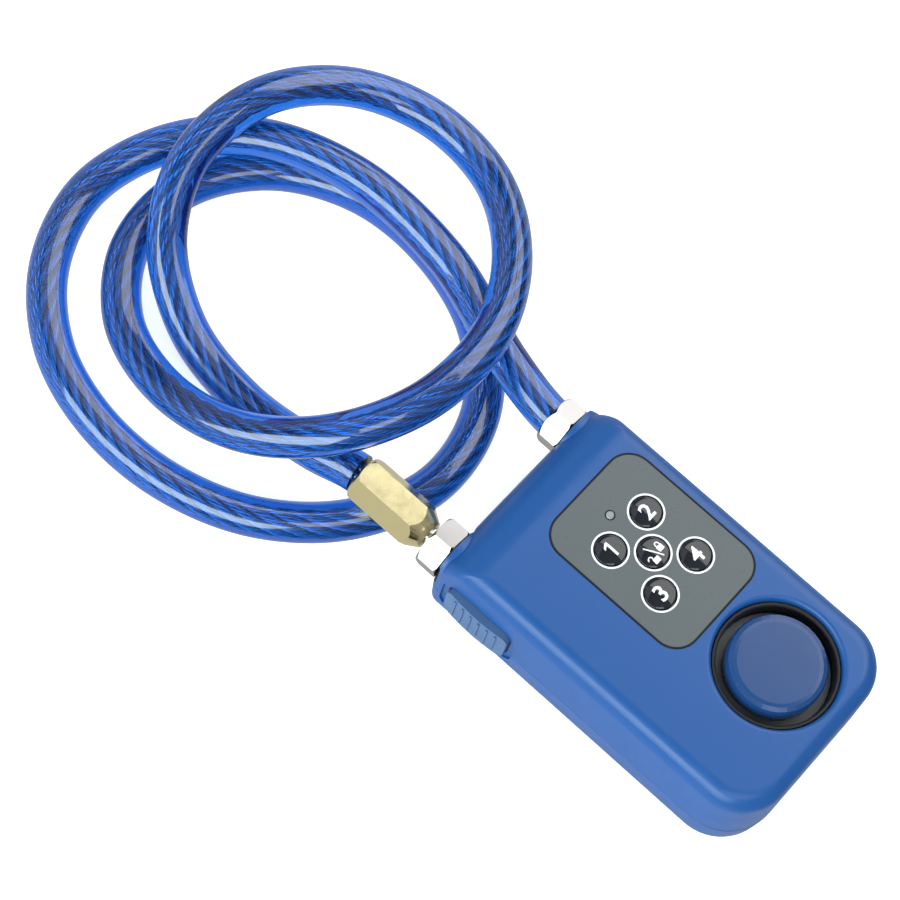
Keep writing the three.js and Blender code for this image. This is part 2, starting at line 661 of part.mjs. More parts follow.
const socketSleeve = () => turnedAlong(
  tubeProfile(PIN_RADIUS + GAP, 4.6, 45, COLLAR_FRONT - 0.8), SOCKET_X);

// A forked steel clip that holds the sleeve behind the wall, pushed on from +X.
function socketClip() {
  const [back, front, hold, halfHeight] = [44.2, 46.5, 4.9, 5.7];
  return cut(
    block([-26.4, back, AXIS_Z - halfHeight], [-15.8, front, AXIS_Z + halfHeight]),
    rodAlong(hold, back - 1, front + 1, SOCKET_X),
    block([-40, back - 1, AXIS_Z - hold], [SOCKET_X, front + 1, AXIS_Z + hold]),
  );
}

// A hexagonal body with a flat facing up, coned at the nose and rounded off at the back.
function ferrule() {
  const corner = FERRULE_FLATS / 2 / Math.cos(Math.PI / 6);
  const turnedForm = turnedAlong([
    [0, FERRULE_FRONT], [3.9, FERRULE_FRONT], [corner + 0.1, FERRULE_FRONT + 4.6],
    [corner + 0.1, FERRULE_BACK - 1.9], [corner - 0.5, FERRULE_BACK - 0.7],
    [corner - 1.3, FERRULE_BACK], [0, FERRULE_BACK],
  ], SOCKET_X, FINE);
  return cut(
    turnedForm.intersect(hexBar(SOCKET_X, corner, FERRULE_FRONT - 1, FERRULE_BACK + 1, 0)),
    rodAlong(CORE_RADIUS + 0.75, ROPE_BORE_START, FERRULE_BACK + 1, SOCKET_X),
    rodAlong(SPIGOT_RADIUS + GAP, FERRULE_FRONT - 1, PIN_TAIL + GAP, SOCKET_X),
  );
}

const lockPin = () => turnedAlong([
  [0, PIN_TIP], [1.9, PIN_TIP], [PIN_RADIUS, PIN_TIP + 1.3], [PIN_RADIUS, LATCH_Y - GROOVE_HALF],
  [GROOVE_RADIUS, LATCH_Y - GROOVE_HALF], [GROOVE_RADIUS, LATCH_Y + GROOVE_HALF],
  [PIN_RADIUS, LATCH_Y + GROOVE_HALF], [PIN_RADIUS, FERRULE_FRONT - GAP],
  [SPIGOT_RADIUS, FERRULE_FRONT - GAP], [SPIGOT_RADIUS, PIN_TAIL], [0, PIN_TAIL],
], SOCKET_X);

const cableCurve = new THREE.CatmullRomCurve3(
  CABLE_ROUTE.map((point) => new THREE.Vector3(...point)), false, 'centripetal');
const cableTube = (radius) => solid(swept(cableCurve, radius, CABLE_SIDES, CABLE_STEPS));

// The sheath stops inside the fixed collar and at the ferrule's back. The bare rope runs on.
const cableSheath = () => cut(
  cableTube(SHEATH_RADIUS),
  cableTube(CORE_RADIUS + 0.4),
  block([10, 30, 8], [34, 48.6, 27]),
  block([-32, 60, 11.4], [-14, FERRULE_BACK + GAP, 27]),
);

// The crimped stop on the rope's end, with a flat beside the wall.
function cableAnchor() {
  const bore = CORE_RADIUS + 0.6;
  const stop = turnedAlong([
    [bore, 39], [5.5, 39], [6.3, 39.8], [6.3, 46.1], [bore, 46.1], [bore, 39],
  ], ANCHOR_X);
  return stop.intersect(block([10, 30, 8], [26.8, 50, 27]));
}

// ---- Assembly ----
const group = new THREE.Group();

function add(name, body, look) {
  const mesh = new THREE.Mesh(geometryOf(body), look);
  mesh.name = name;
  group.add(mesh);
}

add('rear_shell', rearShell(), BLUE_ABS);
add('front_shell', frontShell(), BLUE_ABS);
add('housing_seal', housingSeal(), BLACK_RUBBER);
add('battery_door', batteryDoor(), BLUE_ABS);
add('door_screw', screw(DOOR.screw, 0.2, 2.2, 0.6, 1, DOOR_PAD_TOP - 0.1), STEEL);
CASE_SCREWS.forEach((place, i) => {
  add(`case_screw_${i + 1}`, screw(place, 0.6, 2.6, 2, 1.35, 19), STEEL);
});

add('keypad_panel', keypadPanel(), GREY_PANEL);
add('led', led(), LENS);
add('keypad_membrane', keypadMembrane(), GREY_PLASTIC);
for (const [name, x, y] of KEYS) {
  add(`key_${name}`, keyCap(x, y), GLOSS_BLACK);
  add(`tact_switch_${name}`, tactSwitch(x, y), BLACK_RUBBER);
}
add('main_board', mainBoard(), BOARD_GREEN);
add('main_chip', mainChip(), BLACK_RUBBER);
add('vibration_sensor', vibrationSensor(), STEEL);

add('siren_cover', sirenCover(), BLUE_ABS);
add('siren_grille', sirenGrille(), GREY_PLASTIC);
add('siren_liner', sirenLiner(), BLACK_RUBBER);
add('siren_transducer', sirenTransducer(), BLACK_RUBBER);

add('battery_tray', batteryTray(), BLACK_RUBBER);
BATTERY_X.forEach((x, i) => {
  add(`battery_${i + 1}`, battery(x), BATTERY_SKIN);
  add(`contact_tail_${i + 1}`, contactLeaf(x, BATTERY_TAIL - 0.6), STEEL);
  add(`contact_head_${i + 1}`, contactLeaf(x, BATTERY_HEAD + 0.4), STEEL);
});

add('side_key', sideKey(), SIDE_KEY_BLUE);
add('lock_bolt', lockBolt(), STEEL);
add('key_spring', keySpring(), STEEL);
add('latch_bracket', latchBracket(), GREY_PLASTIC);

add('socket_gasket', gasket(SOCKET_X, 5, SOCKET_GASKET), BLACK_RUBBER);
add('socket_collar', collar(SOCKET_X, 4.9, SOCKET_CORNER, COLLAR_FRONT), NICKEL);
add('socket_sleeve', socketSleeve(), STEEL);
add('socket_clip', socketClip(), STEEL);
add('anchor_gasket', gasket(ANCHOR_X, 5.8, ANCHOR_GASKET), BLACK_RUBBER);
add('anchor_collar', collar(ANCHOR_X, 5.65, ANCHOR_CORNER, COLLAR_FRONT - 0.3), NICKEL);
add('cable_anchor', cableAnchor(), STEEL);

add('cable_sheath', cableSheath(), SHEATH_BLUE);
add('cable_core', cableTube(CORE_RADIUS), STEEL);
add('ferrule', ferrule(), BRASS);
add('lock_pin', lockPin(), STEEL);

export default group;
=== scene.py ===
"""Electronic alarm cable lock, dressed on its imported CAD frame. Sizes below are in millimetres."""

import json
import math

import bmesh
import bpy
from mathutils import Matrix, Vector


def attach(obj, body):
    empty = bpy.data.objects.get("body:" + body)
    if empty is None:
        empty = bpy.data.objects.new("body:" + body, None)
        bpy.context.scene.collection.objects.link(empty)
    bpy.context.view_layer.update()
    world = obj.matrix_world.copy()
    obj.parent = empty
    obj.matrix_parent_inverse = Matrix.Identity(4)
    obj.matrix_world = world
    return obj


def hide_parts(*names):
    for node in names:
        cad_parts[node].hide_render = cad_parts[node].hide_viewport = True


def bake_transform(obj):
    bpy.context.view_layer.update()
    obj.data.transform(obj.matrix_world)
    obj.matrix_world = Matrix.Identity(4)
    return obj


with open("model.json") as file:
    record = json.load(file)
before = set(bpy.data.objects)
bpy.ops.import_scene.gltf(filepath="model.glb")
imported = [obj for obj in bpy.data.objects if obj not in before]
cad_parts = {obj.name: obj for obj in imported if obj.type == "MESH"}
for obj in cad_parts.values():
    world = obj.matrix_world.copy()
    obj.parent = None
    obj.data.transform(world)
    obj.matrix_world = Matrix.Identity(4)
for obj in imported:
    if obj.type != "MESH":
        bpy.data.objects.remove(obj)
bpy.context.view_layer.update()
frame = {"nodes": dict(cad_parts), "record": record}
nodes = frame["nodes"]

MM = 0.001
GAP = 0.3

# ---- Camera, as the row frame sees it ----
CAMERA_PLACE = Vector((-206.98, -30.01, 596.67)) * MM
CAMERA_RIGHT = Vector((0.6623, -0.7415, 0.1073))
CAMERA_UP = Vector((0.6733, 0.6518, 0.3489))
CAMERA_LENS = 99.42
CAMERA_SENSOR = 36


def make_camera():
    """The camera at the viewing angle, with no shift."""
    data = bpy.data.cameras.new("camera")
    data.lens = CAMERA_LENS
    data.sensor_width = CAMERA_SENSOR
    data.clip_end = 10
    camera = bpy.data.objects.new("camera", data)
    bpy.context.scene.collection.objects.link(camera)
    right = CAMERA_RIGHT.normalized()
    back = right.cross(CAMERA_UP).normalized()
    up = back.cross(right)
    turn = Matrix((right, up, back)).transposed().to_4x4()
    camera.matrix_world = Matrix.Translation(CAMERA_PLACE) @ turn
    bpy.context.scene.camera = camera


# ---- Mesh helpers ----
def add_mesh(name, points, faces, material=None):
    """A mesh object from points in millimetres, with its faces turned outwards."""
    data = bpy.data.meshes.new(name)
    data.from_pydata([Vector(p) * MM for p in points], [], faces)
    turner = bmesh.new()
    turner.from_mesh(data)
    bmesh.ops.recalc_face_normals(turner, faces=turner.faces)
    turner.to_mesh(data)
    turner.free()
    piece = bpy.data.objects.new(name, data)
    bpy.context.scene.collection.objects.link(piece)
    if material:
        data.materials.append(material)
    return piece


def loft(name, rings, material=None):
    """A closed skin through rings of equal point count, with a flat cap at each end."""
    count = len(rings[0])
    points = [p for ring in rings for p in ring]
    faces = [tuple(reversed(range(count)))]
    for level in range(len(rings) - 1):
        for i in range(count):
            a, b = level * count + i, level * count + (i + 1) % count
            faces.append((a, b, b + count, a + count))
    last = (len(rings) - 1) * count
    faces.append(tuple(range(last, last + count)))
    return add_mesh(name, points, faces, material)


def circle(radius, height, centre, axis="z", segments=48):
    """A ring of points about an upright axis, or about one along the case."""
    ring = []
    for i in range(segments):
        angle = 2 * math.pi * i / segments
        across, along = radius * math.cos(angle), radius * math.sin(angle)
        if axis == "z":
            ring.append((centre[0] + across, centre[1] + along, height))
        else:
            ring.append((centre[0] + across, height, centre[1] - along))
    return ring


def turned(name, profile, centre, axis="z", segments=48, material=None):
    """A solid of revolution. The profile lists [radius, height] from its foot to its top."""
    rings = [circle(radius, height, centre, axis, segments) for radius, height in profile]
    return loft(name, rings, material)


def rounded_outline(x, y, width, length, radius, steps=10):
    """A rounded rectangle's corner arcs, counter-clockwise, as (x, y)."""
    outline = []
    for quarter, (side, end) in enumerate(((1, 1), (-1, 1), (-1, -1), (1, -1))):
        corner_x = x + side * (width / 2 - radius)
        corner_y = y + end * (length / 2 - radius)
        for i in range(steps + 1):
            angle = (quarter + i / steps) * math.pi / 2
            outline.append((corner_x + radius * math.cos(angle), corner_y + radius * math.sin(angle)))
    return outline


def prism(name, outline, low, high):
    """An outline pushed up between two heights."""
    return loft(name, [[(x, y, z) for x, y in outline] for z in (low, high)])


def bake_modifiers(piece):
    """Puts the modified mesh in place of the piece's own."""
    shown = piece.evaluated_get(bpy.context.evaluated_depsgraph_get())
    data = bpy.data.meshes.new_from_object(shown)
    piece.modifiers.clear()
    piece.data = data


def carve(piece, cutters, operation="DIFFERENCE"):
    """Cuts the cutters out of the piece, or adds them, and removes them."""
    for cutter in cutters:
        modifier = piece.modifiers.new("carve", "BOOLEAN")
        modifier.operation = operation
        modifier.solver = "EXACT"
        modifier.object = cutter
        bpy.context.view_layer.update()
        bake_modifiers(piece)
        bpy.data.objects.remove(cutter)


def soften(piece, bevel=0.0, angle=35, segments=2):
    """Smooth shading with sharp edges kept, and a fine bevel where one is asked for."""
    for polygon in piece.data.polygons:
        polygon.use_smooth = True
    if bevel:
        modifier = piece.modifiers.new("bevel", "BEVEL")
        modifier.width = bevel * MM
        modifier.segments = segments
        modifier.limit_method = "ANGLE"
        modifier.angle_limit = math.radians(angle)
        modifier.harden_normals = False
    piece.data.set_sharp_from_angle(angle=math.radians(angle))
    weighted = piece.modifiers.new("weighted", "WEIGHTED_NORMAL")
    weighted.keep_sharp = True
    return piece


# ---- Materials ----
def node_material(name):
    """A new material, its node tree and its Principled node."""
    made = bpy.data.materials.new(name)
    made.use_nodes = True
    tree = made.node_tree
    return made, tree, tree.nodes["Principled BSDF"]


def noise(tree, scale, detail=3.0, roughness=0.55):
    """A noise texture in the object's own coordinates, in features per metre."""
    coordinates = tree.nodes.new("ShaderNodeTexCoord")
    texture = tree.nodes.new("ShaderNodeTexNoise")
    texture.inputs["Scale"].default_value = scale
    texture.inputs["Detail"].default_value = detail
    texture.inputs["Roughness"].default_value = roughness
    tree.links.new(coordinates.outputs["Object"], texture.inputs["Vector"])
    return texture


def vary_colour(tree, shader, colour, scale, spread):
    """The base colour, a little darker and lighter in soft patches."""
    texture = noise(tree, scale)
    ramp = tree.nodes.new("ShaderNodeValToRGB")
    ramp.color_ramp.elements[0].position = 0.3
    ramp.color_ramp.elements[1].position = 0.7
    ramp.color_ramp.elements[0].color = [c * (1 - spread) for c in colour] + [1]
    ramp.color_ramp.elements[1].color = [min(c * (1 + spread), 1) for c in colour] + [1]
    tree.links.new(texture.outputs["Fac"], ramp.inputs["Fac"])
    tree.links.new(ramp.outputs["Color"], shader.inputs["Base Color"])


def vary_roughness(tree, shader, roughness, scale, spread):
    """Roughness that drifts either side of its value."""
    texture = noise(tree, scale, detail=4.0)
    spreader = tree.nodes.new("ShaderNodeMapRange")
    spreader.inputs["From Min"].default_value = 0.3
    spreader.inputs["From Max"].default_value = 0.7
    spreader.inputs["To Min"].default_value = max(roughness - spread, 0.01)
    spreader.inputs["To Max"].default_value = roughness + spread
    tree.links.new(texture.outputs["Fac"], spreader.inputs["Value"])
    tree.links.new(spreader.outputs["Result"], shader.inputs["Roughness"])


def grain(tree, shader, scale, strength, depth, detail=2.0):
    """A fine bump, such as a moulded texture."""
    texture = noise(tree, scale, detail)
    bump = tree.nodes.new("ShaderNodeBump")
    bump.inputs["Strength"].default_value = strength
    bump.inputs["Distance"].default_value = depth * MM
    tree.links.new(texture.outputs["Fac"], bump.inputs["Height"])
    tree.links.new(bump.outputs["Normal"], shader.inputs["Normal"])


def plastic(name, colour, roughness, texture=2600, strength=0.12, spread=0.05, gloss=0.3):
    """Moulded plastic with a fine grain and faint drifts in colour and gloss."""
    made, tree, shader = node_material(name)
    shader.inputs["Specular IOR Level"].default_value = gloss
    vary_colour(tree, shader, colour, 60, spread)
    vary_roughness(tree, shader, roughness, 150, 0.04)
    if strength:
        grain(tree, shader, texture, strength, 0.05)
    return made


def metal(name, colour, roughness, spread=0.04, scratch=0.0):
    """Plated or bare metal with a faint drift in its gloss and fine scratches."""
    made, tree, shader = node_material(name)
    shader.inputs["Metallic"].default_value = 1
    vary_colour(tree, shader, colour, 90, 0.03)
    vary_roughness(tree, shader, roughness, 500, spread)
    if scratch:
        grain(tree, shader, 1800, scratch, 0.02, detail=6.0)
    return made


def clear_pvc():
    """Clear blue PVC. Lamps shine through it, so that the rope inside is lit."""
    made, tree, shader = node_material("clear_blue_pvc")
    shader.inputs["Base Color"].default_value = (0.012, 0.110, 0.47, 1)
    shader.inputs["Transmission Weight"].default_value = 1
    shader.inputs["IOR"].default_value = 1.5
    shader.inputs["Roughness"].default_value = 0.03
    shader.inputs["Coat Weight"].default_value = 0.7
    shader.inputs["Coat IOR"].default_value = 1.6
    shader.inputs["Coat Roughness"].default_value = 0.22
    paths = tree.nodes.new("ShaderNodeLightPath")
    open_air = tree.nodes.new("ShaderNodeBsdfTransparent")
    open_air.inputs["Color"].default_value = (0.70, 0.80, 0.95, 1)
    mix = tree.nodes.new("ShaderNodeMixShader")
    output = tree.nodes["Material Output"]
    tree.links.new(paths.outputs["Is Shadow Ray"], mix.inputs["Fac"])
    tree.links.new(shader.outputs["BSDF"], mix.inputs[1])
    tree.links.new(open_air.outputs["BSDF"], mix.inputs[2])
    tree.links.new(mix.outputs["Shader"], output.inputs["Surface"])
    return made


MATERIALS = {
    "blue_abs": plastic("blue_abs", (0.010, 0.084, 0.30), 0.34, spread=0.02, gloss=0.45),
    "grey_panel": plastic("grey_panel", (0.108, 0.125, 0.130), 0.30, strength=0, spread=0.02),
    "key_black": plastic("key_black", (0.012, 0.014, 0.020), 0.06, strength=0, gloss=0.6),
    "white_print": plastic("white_print", (0.90, 0.91, 0.92), 0.35, strength=0, spread=0.02),
    "side_key_blue": plastic("side_key_blue", (0.070, 0.143, 0.30), 0.40),
    "grey_plastic": plastic("grey_plastic", (0.11, 0.115, 0.12), 0.35),
    "black_plastic": plastic("black_plastic", (0.012, 0.012, 0.015), 0.4),
    "black_rubber": plastic("black_rubber", (0.010, 0.010, 0.012), 0.7, texture=1800),
    "nickel": metal("nickel", (0.44, 0.43, 0.42), 0.15, spread=0.02),
    "brass": metal("brass", (1.0, 0.87, 0.48), 0.21, spread=0.03, scratch=0.03),
    "steel": metal("steel", (0.60, 0.62, 0.64), 0.28, scratch=0.1),
    "clear_blue_pvc": clear_pvc(),
    "board_green": plastic("board_green", (0.02, 0.11, 0.04), 0.4),
    "battery_skin": metal("battery_skin", (0.16, 0.17, 0.19), 0.35),
}
TWISTED_WIRE = metal("twisted_wire", (0.80, 0.82, 0.86), 0.16, spread=0.05)
# Two pieces don't look like the others of their material.
OWN_LOOKS = {
    "siren_cover": plastic("siren_blue", (0.010, 0.055, 0.19), 0.24, spread=0.03, gloss=0.5),
    "led": plastic("led_lens", (0.30, 0.32, 0.33), 0.25, strength=0),
}

# ---- Cable ----
# The same route as the CAD cable's, from inside the fixed collar to inside the ferrule.
CABLE_ROUTE = [
    (22.2, 38.5, 17.5), (22.3, 57.5, 17.5), (26, 74, 17.2), (36.5, 105, 16.6), (37.5, 137, 16.8),
    (28, 164, 15.2), (11.5, 181.5, 9.2), (-10.5, 187.5, 6.1), (-32.5, 179.5, 5.6), (-48, 162.5, 5.5),
    (-55, 141, 5.5), (-54.5, 117.5, 5.5), (-46, 94.5, 5.5), (-29.5, 76.5, 5.5), (-7.5, 67.5, 5.5),
    (15, 72, 5.5), (32, 88.5, 5.5), (40, 112, 5.5), (39, 136, 5.5), (27.5, 157.5, 5.5),
    (7.5, 170, 5.5), (-14, 168.5, 5.5), (-30.5, 155, 5.7), (-37.5, 133.5, 9), (-35, 109.5, 17.5),
    (-22, 90, 27), (0, 79.5, 29.7), (24, 80, 29), (46.5, 92, 23.5), (61.5, 111.5, 18),
    (64, 134.5, 17), (53.5, 155, 21), (32.5, 167.5, 26), (9.5, 170, 21), (-8.5, 161, 12.4),
    (-20.5, 142, 6), (-25.5, 117.5, 7.5), (-25, 94.5, 13.5), (-22.9, 81, 17.3), (-22.9, 67.5, 17.5),
]
SHEATH_RADIUS = 5.3
SHEATH_START = 49.0  # how far along the case the sheath starts, inside the fixed collar
SHEATH_END = 80.5  # and where it meets the ferrule's back
CABLE_STEP = 1.6
SPAN_STEPS = 40  # points worked out on each span of the route
# The rope has six strands round a core, each of six wires round a seventh.
ROPE_RADIUS = 2.75
STRANDS, WIRES = 6, 6
STRAND_RADIUS = ROPE_RADIUS / 3
WIRE_RADIUS = STRAND_RADIUS / 3
STRAND_LAY = 40.0  # one turn of a strand round the rope
WIRE_LAY = -17.0  # one turn of a wire round its strand, the other way
ROPE_SHIFT = 0.55  # how far the stiff rope lies towards the outside of each bend
SHIFT_REACH = 8  # points either side that a bend is judged by
FULL_SHIFT_BEND = 1.5  # how deep a bend has to be for the whole shift


def span_point(p0, p1, p2, p3, t):
    """A point on a centripetal Catmull-Rom span from p1 to p2."""
    d0, d1, d2 = ((b - a).length ** 0.5 for a, b in ((p0, p1), (p1, p2), (p2, p3)))
    t1 = ((p1 - p0) / d0 - (p2 - p0) / (d0 + d1) + (p2 - p1) / d1) * d1
    t2 = ((p2 - p1) / d1 - (p3 - p1) / (d1 + d2) + (p3 - p2) / d2) * d1
    return p1 + t1 * t + (3 * (p2 - p1) - 2 * t1 - t2) * t**2 + (2 * (p1 - p2) + t1 + t2) * t**3


def even_centreline(route, step):
    """Points a step apart along the smooth curve through the route."""
    route = [Vector(p) for p in route]
    ends = [2 * route[0] - route[1], *route, 2 * route[-1] - route[-2]]
    dense = []
    for i in range(len(route) - 1):
        dense += [span_point(*ends[i : i + 4], k / SPAN_STEPS) for k in range(SPAN_STEPS)]
    dense.append(route[-1])
    line, passed = [dense[0]], 0.0
    for a, b in zip(dense, dense[1:]):
        length = (b - a).length
        while passed + length >= step:
            share = (step - passed) / length
            a = a.lerp(b, share)
            line.append(a)
            length = (b - a).length
            passed = 0.0
        passed += length
    return line


def carried_frames(line):
    """A pair of cross axes at each point of a line, carried along it without twist."""
    tangents = [(b - a).normalized() for a, b in zip(line, line[1:])]
    averaged = [(a + b).normalized() for a, b in zip(tangents, tangents[1:])]
    tangents = [tangents[0], *averaged, tangents[-1]]
    side = tangents[0].cross(Vector((0, 0, 1))).normalized()
    frames = []
    for tangent in tangents:
        side = (side - tangent * side.dot(tangent)).normalized()
        frames.append((side, tangent.cross(side)))
    return frames


def cable_line():
    """The centreline between the fixed collar and the ferrule, with its cross axes."""
    line = even_centreline(CABLE_ROUTE, CABLE_STEP)
    first = next(i for i, p in enumerate(line) if p.y > SHEATH_START)
    last = max(i for i, p in enumerate(line) if p.y > SHEATH_END)
    frames = carried_frames(line)
    return line[first : last + 1], frames[first : last + 1]


def cable_sheath(line, frames):
    """The clear outer tube. It is solid PVC round the rope, as it was moulded on."""
    sides = 32
    rings = []
    for point, (side, up) in zip(line, frames):
        angles = [2 * math.pi * i / sides for i in range(sides)]
        rings.append([point + (side * math.cos(a) + up * math.sin(a)) * SHEATH_RADIUS for a in angles])
    sheath = loft("cable_sheath_clear", rings, MATERIALS["clear_blue_pvc"])
    return soften(sheath)


def outer_side_line(line):
    """The rope's own line, which lies towards the outside of the bends."""
    shifted = []
    for i, point in enumerate(line):
        before = line[max(i - SHIFT_REACH, 0)]
        after = line[min(i + SHIFT_REACH, len(line) - 1)]
        bend = (before + after) / 2 - point
        near_end = min(i, len(line) - 1 - i) / SHIFT_REACH
        shift = ROPE_SHIFT * min(bend.length / FULL_SHIFT_BEND, 1) * min(near_end, 1)
        shifted.append(point - bend.normalized() * shift if bend.length > 0 else point)
    return shifted


def helix(line, frames, radius, lay, start):
    """A line wound round another, with one turn in each lay length."""
    wound = []
    for k, (point, (side, up)) in enumerate(zip(line, frames)):
        angle = 2 * math.pi * (start + k * CABLE_STEP / lay)
        wound.append(point + (side * math.cos(angle) + up * math.sin(angle)) * radius)
    return wound


def cable_rope(line, frames):
    """Six strands round a plain core, with every outer wire of each strand."""
    sides = 6
    wires = [(line, ROPE_RADIUS - 1.5 * STRAND_RADIUS)]
    for strand in range(STRANDS):
        centre = helix(line, frames, ROPE_RADIUS - STRAND_RADIUS, STRAND_LAY, strand / STRANDS)
        wires.append((centre, STRAND_RADIUS - 1.5 * WIRE_RADIUS))
        strand_frames = carried_frames(centre)
        for wire in range(WIRES):
            wound = helix(centre, strand_frames, STRAND_RADIUS - WIRE_RADIUS, WIRE_LAY, wire / WIRES)
            wires.append((wound, WIRE_RADIUS))
    points, faces = [], []
    for centres, radius in wires:
        start = len(points)
        for centre, (side, up) in zip(centres, carried_frames(centres)):
            for i in range(sides):
                turn = 2 * math.pi * i / sides
                points.append(centre + (side * math.cos(turn) + up * math.sin(turn)) * radius)
        for k in range(len(centres) - 1):
            for i in range(sides):
                a, b = start + k * sides + i, start + k * sides + (i + 1) % sides
                faces.append((a, b, b + sides, a + sides))
        last = start + (len(centres) - 1) * sides
        faces += [tuple(reversed(range(start, start + sides))), tuple(range(last, last + sides))]
    return soften(add_mesh("cable_rope", points, faces, TWISTED_WIRE), angle=80)


make_camera()
line, frames_along = cable_line()
sheath = cable_sheath(line, frames_along)
rope = cable_rope(outer_side_line(line), frames_along)

# ---- Light and floor ----
def area_light(name, place, target, size, power, colour=(1, 1, 1)):
    """A softbox aimed at a point. Places are in metres."""
    data = bpy.data.lights.new(name, "AREA")
    data.shape = "RECTANGLE"
    data.size, data.size_y = size
    data.energy = power
    data.color = colour
    lamp = bpy.data.objects.new(name, data)
    bpy.context.scene.collection.objects.link(lamp)
    lamp.location = place
    lamp.rotation_mode = "QUATERNION"
    lamp.rotation_quaternion = (Vector(target) - Vector(place)).to_track_quat("-Z", "Y")


def make_world():
    """A dim room, grey overhead, dark along the horizon and white below it."""
    world = bpy.data.worlds.new("studio")
    bpy.context.scene.world = world
    world.use_nodes = True
    tree = world.node_tree
    coordinates = tree.nodes.new("ShaderNodeTexCoord")
    tilt = tree.nodes.new("ShaderNodeVectorMath")
    tilt.operation = "DOT_PRODUCT"
    tilt.inputs[1].default_value = (0, -0.62, 0.78)  # the room is darker beyond the cable end
    ramp = tree.nodes.new("ShaderNodeValToRGB")
    stops = ramp.color_ramp.elements
    stops[0].position, stops[0].color = 0, (1, 1, 1, 1)
    stops[1].position, stops[1].color = 0.9, (0.5, 0.5, 0.5, 1)
    for position in (0.1, 0.35):
        stops.new(position).color = (0.015, 0.017, 0.02, 1)
    tree.links.new(coordinates.outputs["Generated"], tilt.inputs[0])
    tree.links.new(tilt.outputs["Value"], ramp.inputs["Fac"])
    background = tree.nodes["Background"]
    tree.links.new(ramp.outputs["Color"], background.inputs["Color"])
    background.inputs["Strength"].default_value = 0.52


def make_floor():
    """A plain pale sheet under the lock."""
    made, tree, shader = node_material("floor")
    shader.inputs["Base Color"].default_value = (0.93, 0.93, 0.93, 1)
    shader.inputs["Roughness"].default_value = 0.9
    shader.inputs["Specular IOR Level"].default_value = 0.1
    shader.inputs["Emission Color"].default_value = (1, 1, 1, 1)
    shader.inputs["Emission Strength"].default_value = 0.62
    reach = 3000
    corners = [(-reach, -reach), (reach, -reach), (reach, reach), (-reach, reach)]
    floor = add_mesh("floor", [(x, y, -0.05) for x, y in corners], [(0, 1, 2, 3)], made)
    floor.visible_glossy = False  # a white sheet would wash out the cable's edges


middle = (0, 0.06, 0.02)
make_world()
make_floor()
area_light("top_light", (0.88, -0.05, 0.95), (0.88, 0, 0), (1.1, 1.3), 12)
area_light("key_light", (-0.35, -0.55, 1.1), middle, (0.5, 0.5), 2.4)
area_light("back_light", (0.0, 0.62, 1.0), (0, 0.62, 0), (0.6, 0.7), 1, (0.88, 0.88, 1.0))
area_light("left_light", (-0.78, 0.10, 0.52), middle, (1.2, 0.5), 11, (0.86, 1.0, 1.0))
area_light("right_light", (0.80, 0.1, 0.36), middle, (0.9, 0.25), 1.6)
bpy.context.scene.view_settings.view_transform = "Standard"

# ---- Case shells ----
HALF_WIDTH, TAIL_END, CABLE_END = 30.2, 49.2, 50.6
OUTSIDE = 34  # a distance from the middle plane that clears the left wall
CORNER_RADII = (5.5, 3.6, 14, 14)
HEIGHT, JOINT_Z, WALL = 31.5, 11.0, 2.2
DRAFT, BACK_DRAFT = 1.0, 0.5
BACK_FILLET, FACE_FILLET, SLOPE = 2.6, 4.6, 13.0
SEAM_CHAMFER = 0.2
AXIS_Z, SEAT_Y = 17.5, 49.4
SOCKET_X, ANCHOR_X = -22.9, 22.2
SIREN = (6.8, -27)
WELL_RADIUS, WELL_FLOOR, WELL_LIP = 16.1, 24.1, 1.3
SEAT_GROOVE = 0.4
GASKETS = {SOCKET_X: 7.8, ANCHOR_X: 7.45}  # outer radii
GASKET_BACK, GASKET_FRONT = 49.3, 49.7
BORES = {SOCKET_X: 5.2, ANCHOR_X: 5.9}
BORE_START, BORE_END = 40, 60
SCOOP_RADIUS, SCOOP_MOUTH, SCOOP_DEPTH = 8.4, 10, 2
BOSS_START = 46.9
WELL_WALL, WELL_WALL_TOP = 1.6, 30.5
SOUND_HOLES, SOUND_HOLE_RING, SOUND_HOLE_RADIUS = 6, 7, 1.6
SIDE_KEY = (34.75, 13, 19.5, 13)  # centre along the case and up, length and height
POCKET_FLOOR, POCKET_MARGIN, POCKET_CORNER = 29.4, 2, 4.2
SLOT_FLOOR, SLOT_CORNER = 20, 2.6  # the way through the wall for the side key's stem
PANEL = (7.7, 13.6, 33.4, 44.6)  # centre, width and length
PANEL_RADIUS, PANEL_FOOT, PANEL_TOP, PANEL_SEAT = 6.5, 30.2, 31.6, 29.9
PAD = (7.2, 13)
PAD_OPENING, OPENING_FOOT = (7.2, 14.5, 26.4, 36, 4), 20  # centre, width, length and corner
LED, LED_HOLE = (7.2, 26.9), 1.35
KEY_DX, KEY_DY, KEY_RADIUS = 6.8, 8, 3.95
CASE_SCREWS = ((-23, -37), (23, -37), (-9, 43), (9, 43))
DOOR = (-1, -24.2, 35, 41)
DOOR_CORNER, DOOR_SEAT = 3, 2
DOOR_PAD, DOOR_PAD_CORNER, DOOR_PAD_TOP = 3.6, 4.8, 3.4
BAY_SHIFT, BAY_NARROWER, BAY_SHORTER, BAY_CORNER, BAY_TOP = 2.6, 2.6, 8.6, 2, 5  # against the door
POST_RADIUS, SCREW_WELL_RADIUS, SCREW_WELL_DEPTH = 3.5, 3, 3
SCREW_HOLE_RADIUS, SCREW_HOLE_TOP = 1.7, 12


